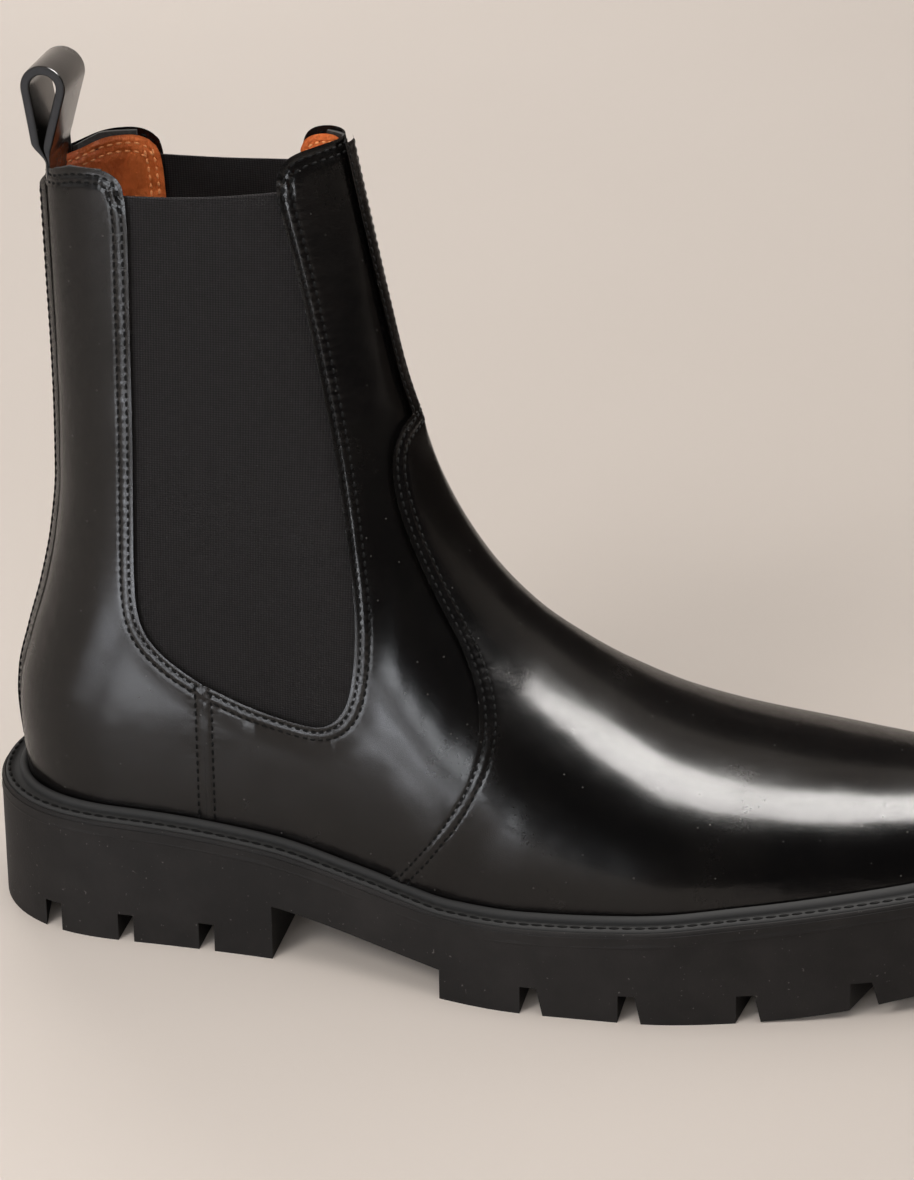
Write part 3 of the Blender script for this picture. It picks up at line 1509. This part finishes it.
        lining_rows: list[tuple[Array, Array]] = []
        for panel, node in linings:
            mount(panel.build(), BOOT, Finish.LINING, [node])
            for edge in (Edge.LINING_TOP, Edge.LINING_SIDE):
                lining_rows += panel.stitch_rows(edge)
        tan = Stitching(finish=Finish.TAN_THREAD).sew("lining_stitches", lining_rows)
        mount(tan, BOOT, Finish.TAN_THREAD)


# ------------------------------------------------------------ welt and sole


@dataclass
class Welt:
    """The storm welt: a round bead against the upper and a stitched ledge, with the sole's rim outside it."""

    stations: int = 620
    bead_profile: tuple[tuple[float, float], ...] = (
        (-0.9, 0.3),
        (-0.9, 2.7),
        (-0.5, 3.25),
        (0.0, 3.5),
        (0.5, 3.5),
        (0.95, 3.25),
        (1.25, 2.85),
        (1.4, 2.35),
        (1.4, 1.85),
        (1.35, 1.3),
    )
    ledge_profile: tuple[tuple[float, float], ...] = (
        (3.2, 1.35),
        (2.9, 1.55),
        (2.4, 1.85),
        (1.8, 1.9),
        (1.35, 1.7),
        (1.15, 1.2),
        (1.1, 0.4),
    )
    rim_profile: tuple[tuple[float, float], ...] = (
        (1.3, -0.4),
        (1.2, 0.75),
        (1.0, 1.1),
        (0.75, 1.15),
        (0.55, 0.95),
        (0.35, 0.3),
        (0.0, -2.3),
        (-0.1, -2.7),
        (-0.1, -3.0),
        (0.4, -3.2),
    )
    stitch_inset: float = 2.15

    def upper_ring(self, s: Array, rise: float) -> Array:
        """Points of the upper's surface at a height above the sole's top."""
        places = LAST.level(s, lambda x: LAST.sole_top(x) + rise)
        return LAST.surface(places[:, 0], places[:, 1])

    def edge_ring(self, s: Array, inset: float, rise: float) -> Array:
        """Points on the sole's outline, moved inwards by inset and raised by rise above the sole's top."""
        x, y = LAST.outline(s, max(inset, 0.0))
        out = self.outward(s)
        points = np.stack([x, y, LAST.sole_top(x) + rise], axis=-1)
        return points + out * max(-inset, 0.0)

    def outward(self, s: Array) -> Array:
        """Level unit vectors out of the sole's outline."""
        x, y = LAST.outline(s, 0.0)
        ring = np.stack([x, y], axis=-1)
        run = np.roll(ring, -1, axis=0) - np.roll(ring, 1, axis=0)
        out = np.stack([-run[:, 1], run[:, 0], np.zeros(len(s))], axis=-1)
        out /= np.maximum(np.linalg.norm(out, axis=1, keepdims=True), 1e-9)
        centre = ring.mean(axis=0)
        sign = np.sign(np.sum(out[:, :2] * (ring - centre), axis=1))
        return out * np.where(np.median(sign) < 0, -1.0, 1.0)

    def round_s(self) -> Array:
        """Stations spread evenly round the sole's outline."""
        s = np.linspace(0, 2 * FRONT, 8001)[:-1]
        x, y = LAST.outline(s, 0.0)
        ring = np.stack([x, y], axis=-1)
        run = np.concatenate([[0.0], np.cumsum(np.linalg.norm(np.diff(ring, axis=0), axis=1))])
        return np.interp(np.linspace(0, run[-1], self.stations, endpoint=False), run, s)

    def rings(self) -> list[Array]:
        """The welt's rings, from its hidden inner foot over the bead to the ledge's outer side."""
        s = self.round_s()
        out = self.outward(s)
        made = []
        for away, rise in self.bead_profile:
            made.append(self.upper_ring(s, min(rise, 4.5)) * [1, 1, 0] + out * away)
            made[-1][:, 2] = LAST.sole_top(made[-1][:, 0]) + rise
        for inset, rise in self.ledge_profile:
            made.append(self.edge_ring(s, inset, rise))
        return made

    @staticmethod
    def hoop(name: str, rings: list[Array]) -> bpy.types.Object:
        """A closed hoop whose cross-section runs through the rings."""
        n = len(rings[0])
        faces = []
        for i in range(len(rings)):
            j = (i + 1) % len(rings)
            for k in range(n):
                m = (k + 1) % n
                faces.append((i * n + k, i * n + m, j * n + m, j * n + k))
        obj = make_object(name, to_frame(np.concatenate(rings)), faces)
        settle_normals(obj)
        return obj

    def build(self) -> None:
        """Builds the welt with its stitches, and the bevelled rim of the sole outside it."""
        s = self.round_s()
        mount(self.hoop("storm_welt", self.rings()), BOOT, Finish.WELT, ["welt"])
        rim = [self.edge_ring(s, inset, rise) for inset, rise in self.rim_profile]
        mount(self.hoop("sole_rim", rim), BOOT, Finish.SOLE)
        row = self.edge_ring(s, self.stitch_inset, 2.0)
        row = np.concatenate([row, row[:1]])
        up = np.tile([0.0, 0.0, 1.0], (len(row), 1))
        stitches = Stitching(pitch=3.4 * MM, length=2.9 * MM, width=1.0 * MM, height=0.6 * MM)
        mount(stitches.sew("welt_stitches", [(to_frame(row), up)]), BOOT, Finish.THREAD)


def settle_normals(obj: bpy.types.Object) -> None:
    """Turns every face outwards."""
    work = bmesh.new()
    work.from_mesh(obj.data)
    bmesh.ops.recalc_face_normals(work, faces=work.faces)
    work.to_mesh(obj.data)
    work.free()


# ------------------------------------------------------------ pull loop


@dataclass
class PullLoop:
    """The folded leather strap above the heel, which bends where it leaves the topline."""

    root: tuple[float, float] = (21.0, 211.9)
    head: tuple[float, float] = (22.2, 230.8)
    radius: float = 6.0
    width: float = 19.0
    strap: float = 2.5
    leg: float = 2.3
    tuck: float = 7.0
    bend_start: float = 208.6
    bend_end: float = 214.6

    def path(self) -> tuple[Array, Array]:
        """The strap's middle line in the side view, and its thickness along it."""
        root, head = np.array(self.root), np.array(self.head)
        axis = head - root
        lean = math.atan2(axis[0], axis[1])
        radius = self.radius - self.strap / 2
        leg = self.leg / 2 + 0.05
        turns = np.linspace(-1.78, 1.78, 41)
        arc = head + radius * np.stack([np.sin(turns + lean), np.cos(turns + lean)], axis=-1)
        low = root - np.array([0.0, self.tuck])
        left = [low - [leg, 0], root - [leg, 1.5], root + axis * 0.16 - [leg + 0.35, 0]]
        right = [low + [leg, 0], root + [leg, -1.5], root + axis * 0.16 + [leg + 0.35, 0]]
        line = np.concatenate([left, arc, right[::-1]])
        line = spline([tuple(p) for p in line], 0.5)
        rise = np.clip((line[:, 1] - root[1]) / 8.0, 0, 1)
        return line, self.leg + (self.strap - self.leg) * rise**0.7

    def tucked(self, points: Array) -> Array:
        """The strap's points, pressed between leather and lining where they are below the topline."""
        turn = np.linspace(0.0, 0.8, 161)
        s, t = np.meshgrid(np.concatenate([turn, 2 * FRONT - turn]), np.linspace(0.85, 1.05, 81))
        skin = LAST.surface(s.ravel(), t.ravel())
        tree = KDTree(len(skin))
        for i, place in enumerate(skin):
            tree.insert((0.0, place[1], place[2]), i)
        tree.balance()
        back = np.array([skin[tree.find((0.0, y, z))[1], 0] for _, y, z in points])
        free = ramp(points[:, 2], 210.4, 216.0)
        pressed = back + 1.15 + (points[:, 0] - self.root[0] + self.leg) * 0.22
        return np.stack([pressed * (1 - free) + points[:, 0] * free, points[:, 1], points[:, 2]], axis=-1)

    def build(self) -> None:
        """Builds the strap."""
        line, thickness = self.path()
        run = np.gradient(line, axis=0)
        run /= np.linalg.norm(run, axis=1, keepdims=True)
        out = np.stack([-run[:, 1], run[:, 0]], axis=-1)
        half = self.width / 2
        corners = 7
        turn = np.linspace(0, math.pi / 2, corners)
        points, cut = [], []
        for (x, z), (ox, oz), thick in zip(line, out, thickness):
            r = thick * 0.3
            profile = []
            for sy, sn in ((1, 1), (-1, 1), (-1, -1), (1, -1)):
                angles = turn if sy * sn > 0 else turn[::-1]
                for a in angles:
                    y, n = half - r + r * math.cos(a), thick / 2 - r + r * math.sin(a)
                    profile.append((sy * y, sn * n))
            for y, n in profile:
                points.append((x + ox * n, y, z + oz * n))
                cut.append(abs(y) > half - r * 0.35)
        count = 4 * corners
        faces = []
        for i in range(len(line) - 1):
            for k in range(count):
                m = (k + 1) % count
                faces.append((i * count + k, i * count + m, (i + 1) * count + m, (i + 1) * count + k))
        faces.append(tuple(range(count)))
        faces.append(tuple(range((len(line) - 1) * count, len(line) * count)))
        strap = make_object("pull_loop_strap", to_frame(self.tucked(np.array(points))), faces)
        settle_normals(strap)
        dress(strap, Finish.LEATHER)
        strap.data.materials.append(Finish.CUT_EDGE.material())
        for face in strap.data.polygons:
            if all(cut[i] for i in face.vertices):
                face.material_index = 1
        x = self.root[0]
        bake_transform(strap)
        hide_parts("pull_loop", "pull_loop_tails")
        log.info("%s: %d faces", strap.name, len(strap.data.polygons))


# ------------------------------------------------------------ inside and stage


@dataclass
class Inside:
    """The CAD pieces that stay as they are and only need a finish."""

    finishes: dict[str, Finish] = field(
        default_factory=lambda: {
            "toe_puff": Finish.BOARD,
            "heel_counter": Finish.BOARD,
            "back_interlining": Finish.CLOTH,
            "quarter_interlining": Finish.CLOTH,
            "vamp_interlining": Finish.CLOTH,
            "vamp_lining": Finish.LINING,
            "sock_lining": Finish.LINING,
            "insole_board": Finish.INSOLE,
            "insole_rib": Finish.CANVAS,
            "cork_filler": Finish.CORK,
            "shank": Finish.STEEL,
            "outsole": Finish.SOLE,
        }
    )

    def build(self) -> None:
        """Dresses the CAD nodes."""
        for name, finish in self.finishes.items():
            dress(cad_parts[name], finish)


@dataclass(frozen=True)
class Softbox:
    """A soft lamp aimed at the boot."""

    name: str
    place: tuple[float, float, float]
    aim: tuple[float, float, float]
    size: tuple[float, float]
    power: float
    colour: Colour = (1.0, 0.97, 0.94)
    mirrored: bool = True
    lighting: bool = True

    def build(self) -> None:
        """Hangs the lamp."""
        lamp = bpy.data.lights.new(self.name, "AREA")
        lamp.shape = "RECTANGLE"
        lamp.size, lamp.size_y = self.size
        lamp.energy = self.power
        lamp.color = self.colour
        obj = bpy.data.objects.new(self.name, lamp)
        obj.location = self.place
        aim = Vector(self.aim) - Vector(self.place)
        obj.rotation_euler = aim.to_track_quat("-Z", "Y").to_euler()
        obj.visible_glossy = self.mirrored
        obj.visible_diffuse = self.lighting
        bpy.context.scene.collection.objects.link(obj)


@dataclass(frozen=True)
class Card:
    """A glowing round card near the floor that shows only as a soft reflection."""

    name: str
    place: tuple[float, float, float]
    size: tuple[float, float]
    strength: float
    colour: Colour

    def build(self) -> None:
        """Lays the card, brightest in its middle and fading to nothing at its rim."""
        turns = [2 * math.pi * k / 48 for k in range(48)]
        rim = [(self.size[0] * math.cos(a), self.size[1] * math.sin(a), 0.0) for a in turns]
        obj = make_object(self.name, np.array(rim) + np.array(self.place), [tuple(range(48))])
        board = Board(self.name)
        kind = "ShaderNodeVectorMath"
        away = board.node(kind, {"operation": "SUBTRACT"}, {0: board.place(), 1: self.place})["Vector"]
        scaled = board.node(kind, {"operation": "DIVIDE"}, {0: away, 1: (*self.size, 1.0)})["Vector"]
        reach = board.node("ShaderNodeVectorMath", {"operation": "LENGTH"}, {0: scaled})["Value"]
        glow = reach.above(1.0, 0.0)
        shine = {"Color": (*self.colour, 1.0), "Strength": self.strength}
        light = board.node("ShaderNodeEmission", None, shine)
        clear = board.node("ShaderNodeBsdfTransparent")
        mixed = board.node("ShaderNodeMixShader", None, {0: glow, 1: clear["BSDF"], 2: light["Emission"]})
        board.node("ShaderNodeOutputMaterial", None, {"Surface": mixed["Shader"]})
        obj.data.materials.append(board.material)
        obj.visible_camera = False
        obj.visible_diffuse = False
        obj.visible_shadow = False


@dataclass
class Stage:
    """The pale floor and backdrop, the lamps and the camera."""

    camera_place: tuple[float, float, float] = (0.19235, -0.99326, 0.55394)
    camera_right: tuple[float, float, float] = (0.97814, 0.20781, -0.00795)
    camera_up: tuple[float, float, float] = (-0.07843, 0.40405, 0.91137)
    lens: float = 127.8
    wall_distance: float = 0.52
    half_width: float = 3.0
    cove: float = 0.10
    room_radius: float = 4.6
    room_height: float = 3.2

    @staticmethod
    def paper() -> bpy.types.Material:
        """Pale matte paper, made once."""
        found = bpy.data.materials.get("pale_paper")
        if found:
            return found
        board = Board("pale_paper")
        fibre = board.noise(0.0009, 3.0)
        colour = board.mix(board.noise(0.4, 2.0), (0.60, 0.545, 0.50), (0.64, 0.585, 0.54))
        return board.surface(
            Base_Color=colour,
            Roughness=0.75 + fibre * 0.1,
            Normal=board.bump(fibre, 0.0001, 0.3),
            Specular_IOR_Level=0.0,
        )

    def floor(self) -> None:
        """A round floor, and a surrounding wall that the boot doesn't mirror."""
        turns = [2 * math.pi * k / 96 for k in range(96)]
        rim = np.array([(math.cos(a), math.sin(a), 0.0) for a in turns]) * self.room_radius
        floor = make_object("floor", rim, [tuple(range(96))], smooth=False)
        cove = rim * 0.93 + [0.0, 0.0, 0.001]
        top = rim + [0.0, 0.0, self.room_height]
        faces = [(k, (k + 1) % 96, 96 + (k + 1) % 96, 96 + k) for k in range(96)]
        faces += [(96 + k, 96 + (k + 1) % 96, 192 + (k + 1) % 96, 192 + k) for k in range(96)]
        wall = make_object("surround_wall", np.concatenate([cove, rim + [0.0, 0.0, 0.3], top]), faces)
        wall.visible_glossy = False
        for obj in (floor, wall):
            obj.data.materials.append(self.paper())

    def panel(self) -> None:
        """A pale panel behind the boot, square to the view, that shows only in reflections."""
        right = Vector((self.camera_right[0], self.camera_right[1], 0)).normalized()
        look = Vector((-right.y, right.x, 0.0))
        profile = [(self.wall_distance - self.cove, 0.0)]
        for k in range(1, 13):
            a = math.pi / 2 * k / 12
            away = self.wall_distance - self.cove + self.cove * math.sin(a)
            profile.append((away, self.cove * (1 - math.cos(a))))
        profile.append((self.wall_distance, 3.0))
        points, faces = [], []
        for d, z in profile:
            for side in (-self.half_width, self.half_width):
                p = look * d + right * side
                points.append((p.x, p.y, z + 0.002))
        for i in range(len(profile) - 1):
            faces.append((2 * i, 2 * i + 1, 2 * i + 3, 2 * i + 2))
        obj = make_object("rear_panel", np.array(points), faces)
        obj.data.materials.append(self.paper())
        obj.visible_camera = False
        obj.visible_diffuse = False
        obj.visible_shadow = False

    def lamps(self) -> None:
        """Soft lamps, reflecting cards and a dim surround."""
        world = bpy.data.worlds.new("surround")
        world.use_nodes = True
        world.node_tree.nodes["Background"].inputs["Color"].default_value = (0.90, 0.88, 0.88, 1.0)
        world.node_tree.nodes["Background"].inputs["Strength"].default_value = 0.035
        bpy.context.scene.world = world
        warm, cool = (1.0, 0.965, 0.93), (0.93, 0.96, 1.0)
        for box in (
            Softbox("top_right", (0.56, 0.17, 1.30), (0.42, 0.10, 0.0), (0.70, 0.86), 46.0, lighting=False),
            Softbox("left_strip", (-0.44, -1.22, 0.30), (-0.02, -0.03, 0.08), (0.56, 0.42), 6.0, cool),
            Softbox("left_wall", (-1.7, -0.7, 0.75), (-0.1, 0.0, 0.1), (1.5, 1.4), 4.5),
            Softbox("overhead", (0.1, -0.3, 2.4), (0.0, 0.1, 0.0), (2.6, 2.2), 36.0, warm, False),
            Softbox("collar", (-0.50, -0.75, 0.80), (-0.09, 0.03, 0.20), (0.30, 0.30), 4.6, warm, False),
            Softbox("rear_fill", (0.4, 2.0, 2.3), (0.3, 1.1, 0.0), (2.8, 1.8), 19.0, warm, False),
            Softbox("rear_strip", (-0.9, 1.5, 0.8), (0.0, 0.2, 0.1), (0.7, 0.5), 10.0, (1.0, 0.98, 0.96)),
            Softbox("front_fill", (0.3, -2.6, 1.5), (0.0, 0.3, 0.3), (2.0, 1.4), 18.0, warm, False),
        ):
            box.build()
        Card("left_card", (-0.26, -0.42, 0.004), (0.18, 0.27), 13.5, (0.90, 0.93, 1.0)).build()
        Card("front_card", (-0.19, -0.82, 0.005), (0.20, 0.30), 9.0, (0.90, 0.93, 1.0)).build()
        Card("waist_card", (-0.150, -0.205, 0.003), (0.05, 0.05), 10.0, (0.93, 0.95, 1.0)).build()
        self.flag()

    def flag(self) -> None:
        """A dark board behind the boot, for what the instep and toe mirror."""
        corners = [(-0.02, 0.15, 0.088), (0.34, 0.15, 0.088), (0.34, 0.15, 0.155), (-0.02, 0.15, 0.20)]
        obj = make_object("flag", np.array(corners), [(0, 1, 2, 3)])
        board = Board("flag")
        colour = board.mix(board.noise(0.1), (0.020, 0.013, 0.009), (0.030, 0.020, 0.014))
        obj.data.materials.append(board.surface(Base_Color=colour))
        obj.visible_camera = False
        obj.visible_diffuse = False
        obj.visible_shadow = False

    def camera(self) -> None:
        """The camera, from the outer side and a little above."""
        data = bpy.data.cameras.new("camera")
        data.lens = self.lens
        data.sensor_width = 36.0
        data.clip_start, data.clip_end = 0.05, 20.0
        obj = bpy.data.objects.new("camera", data)
        right, up = Vector(self.camera_right), Vector(self.camera_up)
        back = right.cross(up)
        turn = Matrix((right, up, back)).transposed()
        obj.matrix_world = Matrix.Translation(self.camera_place) @ turn.to_4x4()
        bpy.context.scene.collection.objects.link(obj)
        bpy.context.scene.camera = obj

    def build(self) -> None:
        """Sets the stage."""
        self.floor()
        self.panel()
        self.lamps()
        self.camera()
        bpy.context.scene.view_settings.view_transform = "Standard"


def main() -> None:
    """Builds the boot piece by piece."""
    logging.basicConfig(level=logging.INFO, format="%(message)s")
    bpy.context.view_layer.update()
    Upper().build()
    Welt().build()
    PullLoop().build()
    Inside().build()
    Stage().build()


if __name__ == "__main__":
    main()
